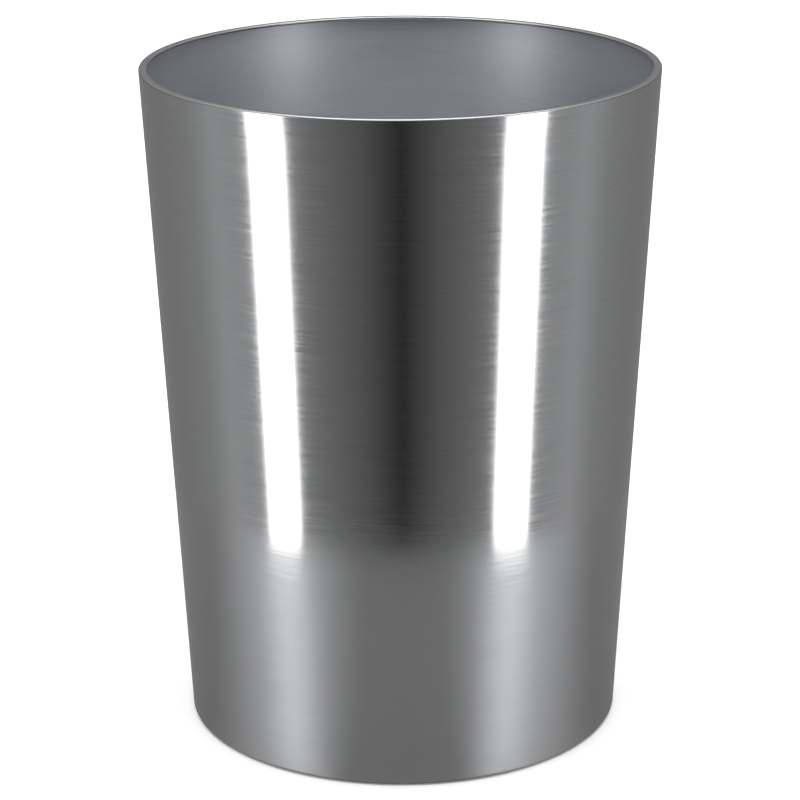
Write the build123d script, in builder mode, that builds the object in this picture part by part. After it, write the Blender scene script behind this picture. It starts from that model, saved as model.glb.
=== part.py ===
"""Round, tapered, open-top wastebasket of stainless steel sheet.

The origin is on the floor under the middle of the base, +Z is up and -Y is the front.
All sizes are in millimetres.
"""
import os

from build123d import *

os.makedirs("parts", exist_ok=True)

# Driving dimensions of the whole basket
height = 300
rim_diameter = 228
base_diameter = 196
sheet = 0.6  # thickness of the wall and of the base pan

sheet_bend = 0.5  # radius at the middle of the sheet where the wall turns into its rim or lip

# Flat rim, the wall's top edge turned in and hemmed back under itself
rim_width = 3.8
hem_bend = 0.4  # radius at the middle of the sheet where it folds back
hem_return = 1.5  # straight part of the leaf that is folded under

# Turned-in bottom edge
lip_width = 4

# Base pan
flange_height = 10
pan_clearance = 0.15  # all round, between the flange and the wall
panel_diameter = 124
panel_rise = 2.5
panel_step = 4  # width of the sloping step round the raised panel
pan_bend = 2.2

# Foot pads
pad_count = 4
pad_diameter = 22
pad_ring_diameter = 158
pad_standoff = 1.2  # floor to the bottom of the steel
pad_edge = 0.4

# Heights and radii worked out from them
rim_height = height - sheet / 2
hem_start_radius = rim_diameter / 2 - rim_width + hem_bend + sheet / 2
lip_height = pad_standoff + sheet / 2
pan_underside = pad_standoff + sheet
pan_height = pan_underside + sheet / 2
flange_top = pan_height + flange_height
wall_top = rim_height - sheet_bend
wall_taper = (rim_diameter - base_diameter) / 2 / (wall_top - pad_standoff)


def wall_radius(z, inset=0):
    """Radius of the wall's outside at height z, less an inset into the sheet."""
    return base_diameter / 2 + (z - pad_standoff) * wall_taper - inset


# Tapered wall with its hemmed rim and turned-in lip, one sheet rolled up and welded
with BuildPart() as body_shell:
    with BuildSketch(Plane.XZ) as wall_section:
        with BuildLine():
            wall_line = FilletPolyline(
                (base_diameter / 2 - lip_width, lip_height),
                (wall_radius(lip_height, sheet / 2), lip_height),
                (wall_radius(rim_height, sheet / 2), rim_height),
                (hem_start_radius, rim_height),
                radius=sheet_bend,
            )
            hem_fold = JernArc(start=wall_line @ 1, tangent=wall_line % 1, radius=hem_bend, arc_size=180)
            Line(hem_fold @ 1, hem_fold @ 1 + Vector(hem_return, 0))
        trace(line_width=sheet)
    revolve(axis=Axis.Z)
body_shell.part.label = "body_shell"
export_step(body_shell.part, "parts/body_shell.step")

# Pressed base pan, which sits on the lip with its flange up against the wall
with BuildPart() as base_pan:
    with BuildSketch(Plane.XZ) as pan_section:
        with BuildLine():
            flange_inset = 1.5 * sheet + pan_clearance
            FilletPolyline(
                (0, pan_height + panel_rise),
                (panel_diameter / 2, pan_height + panel_rise),
                (panel_diameter / 2 + panel_step, pan_height),
                (wall_radius(pan_height, flange_inset), pan_height),
                (wall_radius(flange_top, flange_inset), flange_top),
                radius=pan_bend,
            )
        trace(line_width=sheet)
    revolve(axis=Axis.Z)
base_pan.part.label = "base_pan"
export_step(base_pan.part, "parts/base_pan.step")

# Rubber pads stuck to the underside of the pan, between the raised panel and the lip
for number in range(1, pad_count + 1):
    pad_angle = 360 * (number - 0.5) / pad_count
    pad_centre = Vector(pad_ring_diameter / 2, 0, 0).rotate(Axis.Z, pad_angle)
    with BuildPart() as foot_pad:
        with BuildSketch(Plane(origin=pad_centre)):
            Circle(pad_diameter / 2)
        extrude(amount=pan_underside)
        fillet(foot_pad.edges().sort_by(Axis.Z)[0], pad_edge)
    foot_pad.part.label = f"foot_pad_{number}"
    export_step(foot_pad.part, f"parts/foot_pad_{number}.step")
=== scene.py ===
# %% [markdown]
# # A tapered wastebasket of brushed stainless steel
# The basket is a plain office bin: one sheet of stainless steel rolled into a cone and welded,
# its top edge turned in as a narrow flat hem, with a pressed base pan dropped in and four rubber
# pads under it. Almost everything the eye gets from it is reflection, so this lesson spends its time
# on an accurate sheet-metal form, on the brushed finish and on what the steel has to reflect.
#
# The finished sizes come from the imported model, which is loaded first as a fixed frame.

from math import cos, degrees, pi, radians, sin, tan

import bmesh
import bpy
from mathutils import Matrix, Vector


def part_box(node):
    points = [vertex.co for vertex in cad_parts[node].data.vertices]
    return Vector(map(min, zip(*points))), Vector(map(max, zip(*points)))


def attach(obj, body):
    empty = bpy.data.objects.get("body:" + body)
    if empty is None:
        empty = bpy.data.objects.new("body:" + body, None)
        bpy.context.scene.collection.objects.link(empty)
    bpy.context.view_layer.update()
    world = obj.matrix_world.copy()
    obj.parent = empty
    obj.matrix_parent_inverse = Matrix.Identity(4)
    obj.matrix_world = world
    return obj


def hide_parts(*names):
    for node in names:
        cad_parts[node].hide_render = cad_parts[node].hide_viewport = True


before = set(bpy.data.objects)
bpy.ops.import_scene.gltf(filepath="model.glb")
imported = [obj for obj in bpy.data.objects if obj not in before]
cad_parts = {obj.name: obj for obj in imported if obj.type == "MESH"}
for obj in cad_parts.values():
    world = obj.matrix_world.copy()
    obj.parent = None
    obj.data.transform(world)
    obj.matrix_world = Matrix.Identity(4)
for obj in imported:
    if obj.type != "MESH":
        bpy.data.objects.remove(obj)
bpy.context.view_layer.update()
print("packed pieces", sorted(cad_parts))

# %% [markdown]
# ## Sizes
# Work in metres, like the frame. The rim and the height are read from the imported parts. The sheet
# thickness and the bends are sheet-metal sizes that a box can't tell, so they are named here.

# %% Sizes
MM = 0.001
shell_low, shell_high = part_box("body_shell")
pan_low, pan_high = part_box("base_pan")

SHEET = 0.6 * MM
BASE_RADIUS = 98 * MM  # outside of the wall at its foot
LIP_WIDTH = 4 * MM
RIM_WIDTH = 3.8 * MM
SHEET_BEND = 0.8 * MM  # radius outside the bends at the top and bottom of the wall
HEM_BEND = 0.7 * MM  # radius outside the fold at the rim's inner edge
HEM_RETURN = 1.5 * MM  # straight part of the leaf that is folded under
ROUNDING = 0.001 * MM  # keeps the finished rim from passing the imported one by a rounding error

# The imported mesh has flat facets, so its smallest half-width is the one that nothing may pass
rim_radius = min(-shell_low[0], -shell_low[1], shell_high[0], shell_high[1])
rim_height = shell_high[2] - ROUNDING
steel_bottom = shell_low[2]
taper = (rim_radius - BASE_RADIUS) / (rim_height - SHEET_BEND - steel_bottom)


def wall_radius(height):
    """Radius of the wall's outside at a height above the floor."""
    return BASE_RADIUS + (height - steel_bottom) * taper


print("rim radius", round(rim_radius, 5), "height", round(rim_height, 5), "taper", round(taper, 4))

# %% [markdown]
# ## Helpers
# A finished piece keeps its object at the origin and its place in its mesh. One helper turns a
# bmesh into such an object and rides it on the basket's only body. The others turn a colour code
# into the linear values that Blender works in, and add one node to a material.

# %% Helpers
def srgb(hex_code):
    """Linear RGBA from an sRGB hex code."""
    parts = [int(hex_code[i:i + 2], 16) / 255 for i in (0, 2, 4)]
    return tuple(c / 12.92 if c <= 0.04045 else ((c + 0.055) / 1.055) ** 2.4 for c in parts) + (1,)


def node(tree, kind, settings=None, **links):
    """Adds a node, sets its properties, and fills its inputs with values or with sockets.

    An input is given by its name, with _ for a space, or by its number, such as i0 or i7.
    """
    made = tree.nodes.new(kind)
    for name, value in (settings or {}).items():
        setattr(made, name, value)
    for name, value in links.items():
        key = int(name[1:]) if name[0] == "i" and name[1:].isdigit() else name.replace("_", " ")
        if isinstance(value, bpy.types.NodeSocket):
            tree.links.new(value, made.inputs[key])
        else:
            made.inputs[key].default_value = value
    return made


def finish_piece(bm, name, materials):
    """Writes a bmesh to a new object that rides on the basket."""
    mesh = bpy.data.meshes.new(name)
    bm.to_mesh(mesh)
    bm.free()
    for material in materials:
        mesh.materials.append(material)
    piece = bpy.data.objects.new(name, mesh)
    bpy.context.scene.collection.objects.link(piece)
    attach(piece, "root")
    print(name, len(mesh.vertices), "vertices", len(mesh.polygons), "faces")
    return piece


print("mid grey is", round(srgb("808080")[0], 3), "in linear light")

# %% [markdown]
# ## Brush marks
# The wall is stainless steel sheet, brushed round the cone with an abrasive belt. Each grain of the
# belt leaves a scratch that is long round the wall and very thin up it. A picture of scratches could
# be wrapped round the cone, but it would show a join. A noise that is squeezed along Z needs no
# join, and its scale is a real size. Object coordinates keep it fixed to the steel.

# %% Brush marks
BRUSH_PITCH = 0.32 * MM  # the real marks are under 0.1 mm apart, drawn coarser so that they show
BRUSH_LENGTH = 25 * MM
BRUSH_BREAKUP = 0.6  # how strongly each finer layer of the noise shows
NOISE_LOW = 0.3  # nearly all of a noise texture's values lie between these two
NOISE_HIGH = 0.7


def brush_streaks(tree, pitch, length, layers):
    """Noise that is long round the wall and short up it, from Object coordinates."""
    coordinates = node(tree, "ShaderNodeTexCoord")
    mapping = node(
        tree, "ShaderNodeMapping", {"vector_type": "POINT"},
        Vector=coordinates.outputs["Object"], Scale=(1 / length, 1 / length, 1 / pitch),
    )
    return node(
        tree, "ShaderNodeTexNoise", {"noise_dimensions": "3D"},
        Vector=mapping.outputs["Vector"], Scale=1.0, Detail=layers, Roughness=BRUSH_BREAKUP,
    )


print("brush marks", round(BRUSH_LENGTH / BRUSH_PITCH), "times as long as they are high")

# %% [markdown]
# ## Brushed steel
# Scratches that run round the wall spread a reflection up and down but leave it fairly crisp from
# side to side. An anisotropic metal whose tangent is Z says just that. The marks then vary its
# colour and its roughness a little, and finer ones lift its surface by less than a thousandth of a
# millimetre. One function makes all four of the basket's steels, so that they stay a family. The
# inside and the rim are the same sheet as the outside, with painted light and painted shade in
# their colours: the inside painted paler, the rim painted darker.

# %% Brushed steel
FINE_MARKS = 3  # how many times smaller the marks are that lift the surface
MARK_LAYERS = 4.0  # layers of noise in the marks, and in the smaller ones
FINE_LAYERS = 2.0


def brushed_steel(name, light, dark, roughness, spread, anisotropy, streak_height):
    """Brushed stainless steel sheet, its brush marks running round the Z axis."""
    material = bpy.data.materials.new(name)
    material.use_nodes = True
    tree = material.node_tree
    shader = tree.nodes["Principled BSDF"]
    shader.inputs["Metallic"].default_value = 1.0
    shader.inputs["Anisotropic"].default_value = anisotropy
    streaks = brush_streaks(tree, BRUSH_PITCH, BRUSH_LENGTH, MARK_LAYERS)
    fine = brush_streaks(tree, BRUSH_PITCH / FINE_MARKS, BRUSH_LENGTH / FINE_MARKS, FINE_LAYERS)
    tone = node(
        tree, "ShaderNodeMapRange", None, Value=streaks.outputs["Fac"],
        From_Min=NOISE_LOW, From_Max=NOISE_HIGH, To_Min=0.0, To_Max=1.0,
    )
    colour = node(
        tree, "ShaderNodeMix", {"data_type": "RGBA"},
        Factor=tone.outputs["Result"], i6=srgb(dark), i7=srgb(light),
    )
    gloss = node(
        tree, "ShaderNodeMapRange", None, Value=streaks.outputs["Fac"],
        From_Min=NOISE_LOW, From_Max=NOISE_HIGH,
        To_Min=roughness - spread, To_Max=roughness + spread,
    )
    bump = node(
        tree, "ShaderNodeBump", None,
        Strength=1.0, Distance=streak_height, Height=fine.outputs["Fac"],
    )
    upright = node(tree, "ShaderNodeCombineXYZ", None, X=0.0, Y=0.0, Z=1.0)
    tree.links.new(colour.outputs[2], shader.inputs["Base Color"])
    tree.links.new(gloss.outputs["Result"], shader.inputs["Roughness"])
    tree.links.new(bump.outputs["Normal"], shader.inputs["Normal"])
    tree.links.new(upright.outputs["Vector"], shader.inputs["Tangent"])
    print("material", name)
    return material


# Brushed with the finest belt: smooth enough to mirror a lamp as a band with crisp edges
brushed_outside = brushed_steel(
    "brushed_stainless_outside", light="C6C7C8", dark="BFC0C2",
    roughness=0.14, spread=0.045, anisotropy=0.3, streak_height=0.0005 * MM,
)
# Brushed with a coarser belt: the same lamps spread into soft, faintly blue bands
# Its colour is painted paler than the outside's, though it is the same sheet: painted light that
# lifts the shade inside the basket
brushed_inside_with_painted_light = brushed_steel(
    "brushed_stainless_inside_with_painted_light", light="D3D5DA", dark="C7C9CE",
    roughness=0.45, spread=0.05, anisotropy=0.5, streak_height=0.0008 * MM,
)
# Buffed after hemming: an even satin band. Its colour is painted shade, a little darker than the
# wall's, though it is the same sheet
rim_steel_with_painted_shade = brushed_steel(
    "hemmed_rim_steel_with_painted_shade", light="A8A9AB", dark="9D9EA0",
    roughness=0.26, spread=0.02, anisotropy=0.0, streak_height=0.0005 * MM,
)
# Pressed from sheet as it left the rolling mill: duller, with no one direction to its shine
pressed_steel = brushed_steel(
    "pressed_base_pan_steel", light="B4B6BA", dark="A6A8AC",
    roughness=0.34, spread=0.03, anisotropy=0.0, streak_height=0.001 * MM,
)

# %% [markdown]
# ## Moulded rubber
# The pads are moulded black rubber. It reads as a very dark grey with a soft sheen, and the mould
# leaves a fine grain on it, which a small noise gives to both its roughness and its surface.

# %% Rubber
RUBBER_GRAIN = 0.35 * MM
GRAIN_LAYERS = 2.0
GRAIN_BREAKUP = 0.5
RUBBER_ROUGHNESS = 0.65
RUBBER_SPREAD = 0.1


def moulded_rubber(name, colour, grain_height):
    """Matt moulded rubber with a fine grain."""
    material = bpy.data.materials.new(name)
    material.use_nodes = True
    tree = material.node_tree
    shader = tree.nodes["Principled BSDF"]
    shader.inputs["Base Color"].default_value = srgb(colour)
    coordinates = node(tree, "ShaderNodeTexCoord")
    grain = node(
        tree, "ShaderNodeTexNoise", {"noise_dimensions": "3D"},
        Vector=coordinates.outputs["Object"], Scale=1 / RUBBER_GRAIN,
        Detail=GRAIN_LAYERS, Roughness=GRAIN_BREAKUP,
    )
    sheen = node(
        tree, "ShaderNodeMapRange", None, Value=grain.outputs["Fac"],
        From_Min=NOISE_LOW, From_Max=NOISE_HIGH,
        To_Min=RUBBER_ROUGHNESS - RUBBER_SPREAD, To_Max=RUBBER_ROUGHNESS + RUBBER_SPREAD,
    )
    bump = node(
        tree, "ShaderNodeBump", None,
        Strength=1.0, Distance=grain_height, Height=grain.outputs["Fac"],
    )
    tree.links.new(sheen.outputs["Result"], shader.inputs["Roughness"])
    tree.links.new(bump.outputs["Normal"], shader.inputs["Normal"])
    print("material", name)
    return material


# Black with a little grey in it: rubber scatters some light even where it is in shadow
pad_rubber = moulded_rubber("moulded_black_rubber", colour="1E1E1F", grain_height=0.02 * MM)

# %% [markdown]
# ## Sheet metal in section
# Both steel pieces are turned: they look the same all round. So each is drawn once, as a line in
# section, and spun round Z. The helpers draw that line with sharp corners, round each corner to its
# bend radius, spin it, make sure that its faces look outwards and shade it. The thickness comes last.

# %% Sheet-metal helpers
MERGE_DISTANCE = 0.01 * MM
CRISP_ANGLE = radians(35)


def spin_profile(bm, steps):
    """Turns the bmesh's profile in the XZ plane into a closed ring round Z."""
    bmesh.ops.spin(
        bm, geom=bm.verts[:] + bm.edges[:], cent=(0, 0, 0), axis=(0, 0, 1), dvec=(0, 0, 0),
        angle=2 * pi, steps=steps, use_merge=True, use_duplicate=False,
    )
    bmesh.ops.remove_doubles(bm, verts=bm.verts[:], dist=MERGE_DISTANCE)
    bmesh.ops.recalc_face_normals(bm, faces=bm.faces[:])


def draw_path(bm, points):
    """Draws a line of straight edges in the XZ plane through (radius, height) points."""
    verts = [bm.verts.new((radius, 0, height)) for radius, height in points]
    for pair in zip(verts, verts[1:]):
        bm.edges.new(pair)
    return verts


def bend(bm, vert, radius, segments):
    """Rounds one corner of a drawn path to a bend radius."""
    one, other = [(edge.other_vert(vert).co - vert.co) for edge in vert.link_edges]
    turn = pi - one.angle(other)
    bmesh.ops.bevel(
        bm, geom=[vert], offset=radius * tan(turn / 2), offset_type="OFFSET", segments=segments,
        profile=0.5, affect="VERTICES", material=-1,
    )


def face_outward(bm, reference):
    """Turns every face over if the one nearest a reference point doesn't face that point."""
    nearest = min(bm.faces, key=lambda face: (face.calc_center_median() - reference).length)
    if nearest.normal.dot(reference - nearest.calc_center_median()) < 0:
        bmesh.ops.reverse_faces(bm, faces=bm.faces[:])


def smooth_below(bm, angle):
    """Shades every face smooth and keeps the edges sharper than an angle crisp."""
    for face in bm.faces:
        face.smooth = True
    for edge in bm.edges:
        edge.smooth = len(edge.link_faces) != 2 or edge.calc_face_angle() < angle


def add_thickness(piece, thickness):
    """Gives a sheet-metal piece its thickness, on the side its faces look away from."""
    modifier = piece.modifiers.new("sheet_thickness", "SOLIDIFY")
    modifier.thickness = thickness
    modifier.offset = -1
    modifier.use_even_offset = True
    return modifier


print("edges sharper than", round(degrees(CRISP_ANGLE)), "degrees stay crisp")

# %% [markdown]
# ## The wall, its rim and its lip
# The real wall is one sheet, and its rim is that sheet turned in flat and hemmed back under
# itself, so that no raw edge is left to cut a hand. So the mesh starts as one line, the outside of
# the sheet in section: in along the lip, round the bottom bend, straight up the wall, round the
# top bend, in across the rim, then a half turn round the hem and a short leaf back.

# %% Wall in section
BEND_STEPS = 8
WALL_ROWS = 24

hem_radius = rim_radius - RIM_WIDTH + HEM_BEND
wall = bmesh.new()
path = draw_path(wall, [
    (BASE_RADIUS - LIP_WIDTH, steel_bottom),
    (BASE_RADIUS, steel_bottom),
    (wall_radius(rim_height), rim_height),
    (hem_radius, rim_height),
])
bmesh.ops.spin(
    wall, geom=[path[3]], cent=(hem_radius, 0, rim_height - HEM_BEND), axis=(0, -1, 0),
    dvec=(0, 0, 0), angle=pi, steps=2 * BEND_STEPS, use_merge=False, use_duplicate=False,
)
leaf_end = min(
    (vert for vert in wall.verts if vert.co.z > rim_height / 2), key=lambda vert: vert.co.z,
)
leaf = wall.verts.new(leaf_end.co + Vector((HEM_RETURN, 0, 0)))
wall.edges.new((leaf_end, leaf))
bend(wall, path[1], SHEET_BEND, BEND_STEPS)
bend(wall, path[2], SHEET_BEND, BEND_STEPS)
longest = max(wall.edges, key=lambda edge: edge.calc_length())
bmesh.ops.subdivide_edges(wall, edges=[longest], cuts=WALL_ROWS - 1)
print("wall section of", len(wall.verts), "points")

# %% [markdown]
# ## Turning the wall
# A spin round Z makes the cone. A Solidify modifier then gives the sheet its thickness on the inner
# side, which keeps it even through every bend, as a real sheet is. Its material offset gives the
# inner side the inside's steel, painted paler as painted light, and the faces above the top bend
# get the rim's steel, painted darker as painted shade.

# %% Wall
WALL_STEPS = 384
RIM_SLOT = 2  # place of the rim's steel in the wall's list of materials

spin_profile(wall, WALL_STEPS)
face_outward(wall, Vector((2 * rim_radius, 0, rim_height / 2)))
smooth_below(wall, CRISP_ANGLE)
for face in wall.faces:
    face.material_index = RIM_SLOT if face.calc_center_median().z > rim_height - SHEET_BEND else 0
basket_wall = finish_piece(
    wall, "basket_wall", [brushed_outside, brushed_inside_with_painted_light, rim_steel_with_painted_shade, brushed_inside_with_painted_light],
)
wall_thickness = add_thickness(basket_wall, SHEET)
wall_thickness.material_offset = 1
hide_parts("body_shell")

# %% [markdown]
# ## The base pan
# The bottom is a separate pressing: a disc with a raised centre panel that stiffens it, and a
# flange turned up all round that bears on the wall. It is dropped in from the top and sits on the
# turned-in lip. Its upper face is drawn as one line from the middle out, each corner is rounded to
# the press tool's radius, and the thickness goes underneath.

# %% Base pan
PANEL_RADIUS = 62 * MM
PANEL_RISE = 2.5 * MM
PANEL_STEP = 4 * MM
PAN_BEND = 2.2 * MM
PAN_FACE = 0.75 * MM  # the wall's own sheet, cut by the clearance that the pan drops in with

pan_floor = pan_low[2] + SHEET
pan = bmesh.new()
path = draw_path(pan, [
    (0, pan_floor + PANEL_RISE),
    (PANEL_RADIUS, pan_floor + PANEL_RISE),
    (PANEL_RADIUS + PANEL_STEP, pan_floor),
    (wall_radius(pan_floor) - SHEET - PAN_FACE, pan_floor),
    (wall_radius(pan_high[2]) - SHEET - PAN_FACE, pan_high[2]),
])
bend(pan, path[1], PAN_BEND + SHEET / 2, BEND_STEPS)
bend(pan, path[2], PAN_BEND - SHEET / 2, BEND_STEPS)
bend(pan, path[3], PAN_BEND - SHEET / 2, BEND_STEPS)
spin_profile(pan, WALL_STEPS)
face_outward(pan, Vector((0, 0, rim_height)))
smooth_below(pan, CRISP_ANGLE)
base_pan = finish_piece(pan, "pressed_base_pan", [pressed_steel])
add_thickness(base_pan, SHEET)
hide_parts("base_pan")

# %% [markdown]
# ## The foot pads
# Four rubber discs are stuck under the pan, just proud of the steel, so that the basket doesn't
# scratch a floor or slide on it. Each is turned from one section with a rounded lower edge, then
# its mesh is moved to the pad's place and its object stays at the origin.

# %% Foot pads
PAD_COUNT = 4
PAD_STEPS = 64
PAD_EDGE = 0.4 * MM

for number in range(1, PAD_COUNT + 1):
    pad_low, pad_high = [Vector(corner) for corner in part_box(f"foot_pad_{number}")]
    pad_centre = (pad_low + pad_high) / 2
    pad_radius = (pad_high[0] - pad_low[0]) / 2
    pad = bmesh.new()
    path = draw_path(pad, [
        (0, pad_low[2]), (pad_radius, pad_low[2]), (pad_radius, pad_high[2]), (0, pad_high[2]),
    ])
    bend(pad, path[1], PAD_EDGE, BEND_STEPS)
    spin_profile(pad, PAD_STEPS)
    smooth_below(pad, CRISP_ANGLE)
    bmesh.ops.translate(pad, vec=(pad_centre[0], pad_centre[1], 0), verts=pad.verts[:])
    foot_pad = finish_piece(pad, f"rubber_pad_{number}", [pad_rubber])
    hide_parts(f"foot_pad_{number}")

# %% [markdown]
# ## Floor and table
# A pale floor stands for a white-paper studio. Smooth metal shows what is round it, and white paper
# mirrored in the lower part of the wall would wash it out. So the floor is hidden from reflections,
# and a small grey table that only reflections see takes its place. Both lie a hair below the pads,
# so that no faces coincide.

# %% Floor and table
FLOOR_SIZE = 8.0
FLOOR_WHITE = "F4F4F4"
FLOOR_ROUGHNESS = 0.9
TABLE_RADIUS = 0.32
TABLE_STEPS = 128
TABLE_DARK = "585858"
TABLE_ROUGHNESS = 0.46
STAGE_GAP = 0.1 * MM


def stage_sheet(name, bm, colour, roughness):
    """A flat part of the studio, which is no part of the basket."""
    mesh = bpy.data.meshes.new(name)
    bm.to_mesh(mesh)
    bm.free()
    material = bpy.data.materials.new(name)
    material.use_nodes = True
    shader = material.node_tree.nodes["Principled BSDF"]
    shader.inputs["Base Color"].default_value = srgb(colour)
    shader.inputs["Roughness"].default_value = roughness
    mesh.materials.append(material)
    sheet = bpy.data.objects.new(name, mesh)
    bpy.context.scene.collection.objects.link(sheet)
    sheet.visible_shadow = False
    print("stage", name)
    return sheet


floor_mesh = bmesh.new()
bmesh.ops.create_grid(floor_mesh, x_segments=1, y_segments=1, size=FLOOR_SIZE / 2)
bmesh.ops.translate(floor_mesh, vec=(0, 0, -STAGE_GAP), verts=floor_mesh.verts[:])
floor = stage_sheet("studio_floor", floor_mesh, FLOOR_WHITE, FLOOR_ROUGHNESS)
floor.visible_glossy = False

table_mesh = bmesh.new()
bmesh.ops.create_circle(table_mesh, cap_ends=True, segments=TABLE_STEPS, radius=TABLE_RADIUS)
bmesh.ops.translate(table_mesh, vec=(0, 0, -2 * STAGE_GAP), verts=table_mesh.verts[:])
table = stage_sheet("reflected_table", table_mesh, TABLE_DARK, TABLE_ROUGHNESS)
table.visible_camera = False
table.visible_diffuse = False
table.visible_transmission = False

# %% [markdown]
# ## Beams on the table
# The softboxes of the next step throw a soft-edged beam across the table on each side, and the wall
# shows the two beams under the bright bands. Painting each as a paler fan on the table is simpler to
# steer than shading the lamps. A bearing, the angle away from the front, is the same to the left and
# the right, and the room's walls use it too.

# %% Beams on the table
TABLE_LIT = "CACACA"
TABLE_IOR = 2.4
BEAM_BEARING = radians(64)
BEAM_SPREAD = radians(50)
BEAM_ACROSS = 15 * MM  # the fans start this far out and this far in front of the basket's middle
BEAM_AHEAD = 66 * MM


def bearing(tree, axes, across, ahead):
    """Angle away from the front, the same on both sides, seen from a place on each side."""
    side = node(tree, "ShaderNodeMath", {"operation": "ABSOLUTE"}, i0=axes.outputs["X"])
    beside = node(
        tree, "ShaderNodeMath", {"operation": "SUBTRACT"}, i0=side.outputs[0], i1=across,
    )
    front = node(
        tree, "ShaderNodeMath", {"operation": "MULTIPLY_ADD"},
        i0=axes.outputs["Y"], i1=-1.0, i2=-ahead,
    )
    angle = node(
        tree, "ShaderNodeMath", {"operation": "ARCTAN2"}, i0=beside.outputs[0], i1=front.outputs[0],
    )
    return angle.outputs[0]


def paint_beams(material):
    """Paints a pale fan on each side of the table, which fades away from its middle line."""
    tree = material.node_tree
    shader = tree.nodes["Principled BSDF"]
    coordinates = node(tree, "ShaderNodeTexCoord")
    axes = node(tree, "ShaderNodeSeparateXYZ", None, Vector=coordinates.outputs["Object"])
    angle = bearing(tree, axes, BEAM_ACROSS, BEAM_AHEAD)
    offset = node(tree, "ShaderNodeMath", {"operation": "SUBTRACT"}, i0=angle, i1=BEAM_BEARING)
    away = node(tree, "ShaderNodeMath", {"operation": "ABSOLUTE"}, i0=offset.outputs[0])
    fade = node(
        tree, "ShaderNodeMapRange", {"interpolation_type": "SMOOTHSTEP"}, Value=away.outputs[0],
        From_Min=0.0, From_Max=BEAM_SPREAD, To_Min=1.0, To_Max=0.0,
    )
    colour = node(
        tree, "ShaderNodeMix", {"data_type": "RGBA"},
        Factor=fade.outputs["Result"], i6=srgb(TABLE_DARK), i7=srgb(TABLE_LIT),
    )
    tree.links.new(colour.outputs[2], shader.inputs["Base Color"])
    shader.inputs["IOR"].default_value = TABLE_IOR
    print("beams painted on", material.name)


paint_beams(table.active_material)

# %% [markdown]
# ## Softboxes
# Two tall softboxes stand one each side of the front and give the wall its two bright bands. The
# wider the softbox, the wider its band, and a band ends where the reflected table begins. The boxes
# reach below the table's level because the wall leans out, so that it reflects rays from below.

# %% Softboxes
SOFTBOX_DISTANCE = 1.2
SOFTBOX_HEIGHT = 2.0
SOFTBOX_CENTRE = -0.3  # height of the middle of a softbox
SOFTBOX_RADIANCE = 3.5


def softbox(name, turn, width):
    """A tall soft light aimed level at the basket, turned away from the front in degrees."""
    light = bpy.data.lights.new(name, "AREA")
    light.shape = "RECTANGLE"
    light.size = width
    light.size_y = SOFTBOX_HEIGHT
    light.energy = SOFTBOX_RADIANCE * pi * width * SOFTBOX_HEIGHT
    box = bpy.data.objects.new(name, light)
    bpy.context.scene.collection.objects.link(box)
    away = Vector((sin(radians(turn)), -cos(radians(turn)), 0))
    place = SOFTBOX_DISTANCE * away + Vector((0, 0, SOFTBOX_CENTRE))
    aim = (-away).to_track_quat("-Z", "Y").to_matrix().to_4x4()
    box.matrix_world = Matrix.Translation(place) @ aim
    box.visible_camera = False
    print("light", name, round(light.energy, 1), "W")


softbox("softbox_left", turn=-58.5, width=0.37)
softbox("softbox_right", turn=53.6, width=0.38)

# %% [markdown]
# ## Ceiling light
# A broad light from straight above keeps the floor white and gives the basket a soft shadow where it
# stands. A sun with a wide angle is an even ceiling that is far away, and it needs no place.

# %% Ceiling light
CEILING_LIGHT = 2.4
CEILING_SPREAD = radians(70)

ceiling = bpy.data.lights.new("ceiling", "SUN")
ceiling.energy = CEILING_LIGHT
ceiling.angle = CEILING_SPREAD
ceiling_light = bpy.data.objects.new("ceiling", ceiling)
bpy.context.scene.collection.objects.link(ceiling_light)
print("ceiling", CEILING_LIGHT, "W per square metre")

# %% [markdown]
# ## Room
# The wall mirrors the room too, so its walls are grey by bearing: dark in front, where the wall
# facing that way shows a dark band, palest at the sides, and mid-grey behind. Upwards they brighten
# into a white ceiling. The world's colour stays white and its strength carries all of this. What the
# camera sees directly is plain paper, so the backdrop stays even.

# %% Room
# Brightness of the room's walls by bearing, from the front at 0 to behind the basket at 1
ROOM = [(0.0, 0.03), (0.1, 0.13), (0.25, 0.24), (0.5, 0.44), (0.6, 0.31), (0.75, 0.25), (1.0, 0.21)]
CEILING = 0.95
CEILING_STARTS = 0.15  # how steeply up, as a sine, the walls begin to turn into ceiling
CEILING_WHOLE = 0.8
PAPER = 0.97

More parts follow.
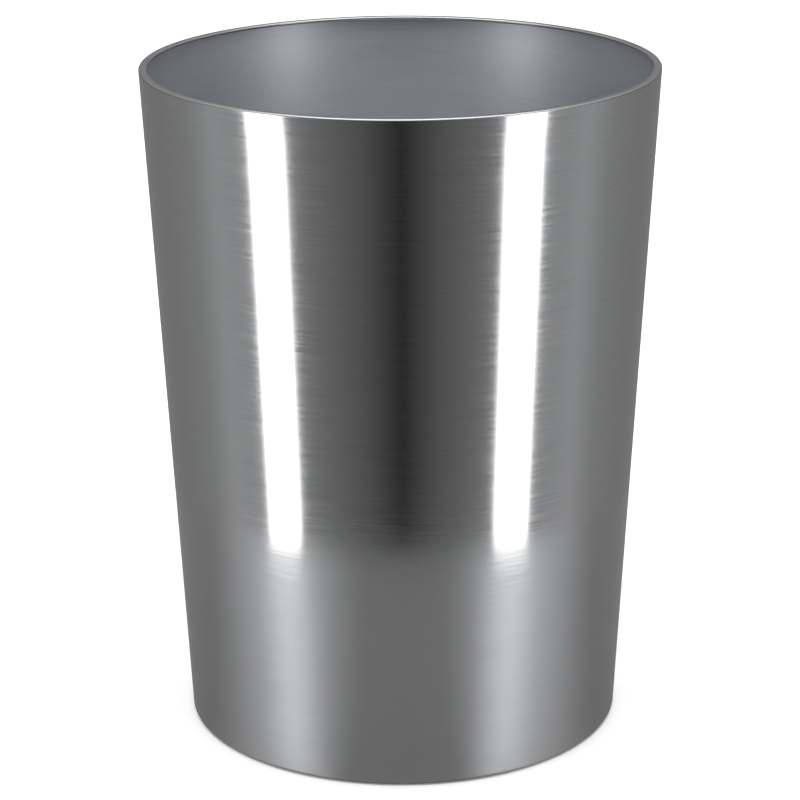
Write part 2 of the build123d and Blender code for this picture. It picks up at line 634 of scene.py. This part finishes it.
world = bpy.data.worlds.new("studio")
bpy.context.scene.world = world
world.use_nodes = True
tree = world.node_tree
background = tree.nodes["Background"]
background.inputs["Color"].default_value = srgb("FFFFFF")
direction = node(tree, "ShaderNodeTexCoord")
axes = node(tree, "ShaderNodeSeparateXYZ", None, Vector=direction.outputs["Generated"])
around = node(
    tree, "ShaderNodeMapRange", None, Value=bearing(tree, axes, 0.0, 0.0),
    From_Min=0.0, From_Max=pi, To_Min=0.0, To_Max=1.0,
)
room = node(tree, "ShaderNodeValToRGB", None, Fac=around.outputs["Result"])
stops = room.color_ramp.elements
for position, _ in ROOM[1:-1]:
    stops.new(position)
for stop, (_, level) in zip(stops, ROOM):
    stop.color = (level, level, level, 1)
overhead = node(
    tree, "ShaderNodeMapRange", None, Value=axes.outputs["Z"],
    From_Min=CEILING_STARTS, From_Max=CEILING_WHOLE, To_Min=0.0, To_Max=1.0,
)
surroundings = node(
    tree, "ShaderNodeMix", {"data_type": "FLOAT"},
    Factor=overhead.outputs["Result"], A=room.outputs["Color"], B=CEILING,
)
path_kind = node(tree, "ShaderNodeLightPath")
seen = node(
    tree, "ShaderNodeMix", {"data_type": "FLOAT"},
    Factor=path_kind.outputs["Is Camera Ray"], A=surroundings.outputs[0], B=PAPER,
)
tree.links.new(seen.outputs[0], background.inputs["Strength"])
print("room", [(round(stop.position, 2), round(stop.color[0], 2)) for stop in stops])

# %% [markdown]
# ## Camera
# A long lens a little over a metre away looks down into the mouth. From there the taper of the wall
# stays true and the inside still shows. The camera is placed by a matrix: first its lens is rolled
# and pitched from looking straight down, then it is turned and moved into place.

# %% Camera
CAMERA_DISTANCE = 1.2165
CAMERA_HEIGHT = 0.5444
CAMERA_PITCH = 18.17  # degrees below level
CAMERA_ROLL = -0.30
CAMERA_YAW = 0.04
LENS = 127.05  # millimetres, on a sensor of full-frame width
SENSOR_WIDTH = 36

camera_data = bpy.data.cameras.new("camera")
camera_data.lens = LENS
camera_data.sensor_width = SENSOR_WIDTH
camera = bpy.data.objects.new("camera", camera_data)
bpy.context.scene.collection.objects.link(camera)
turn = (
    Matrix.Rotation(radians(CAMERA_YAW), 4, "Z")
    @ Matrix.Rotation(radians(90 - CAMERA_PITCH), 4, "X")
    @ Matrix.Rotation(radians(CAMERA_ROLL), 4, "Z")
)
camera.matrix_world = Matrix.Translation((0, -CAMERA_DISTANCE, CAMERA_HEIGHT)) @ turn
bpy.context.scene.camera = camera
bpy.context.scene.view_settings.view_transform = "Standard"
print("camera", LENS, "mm at", CAMERA_DISTANCE, "m")
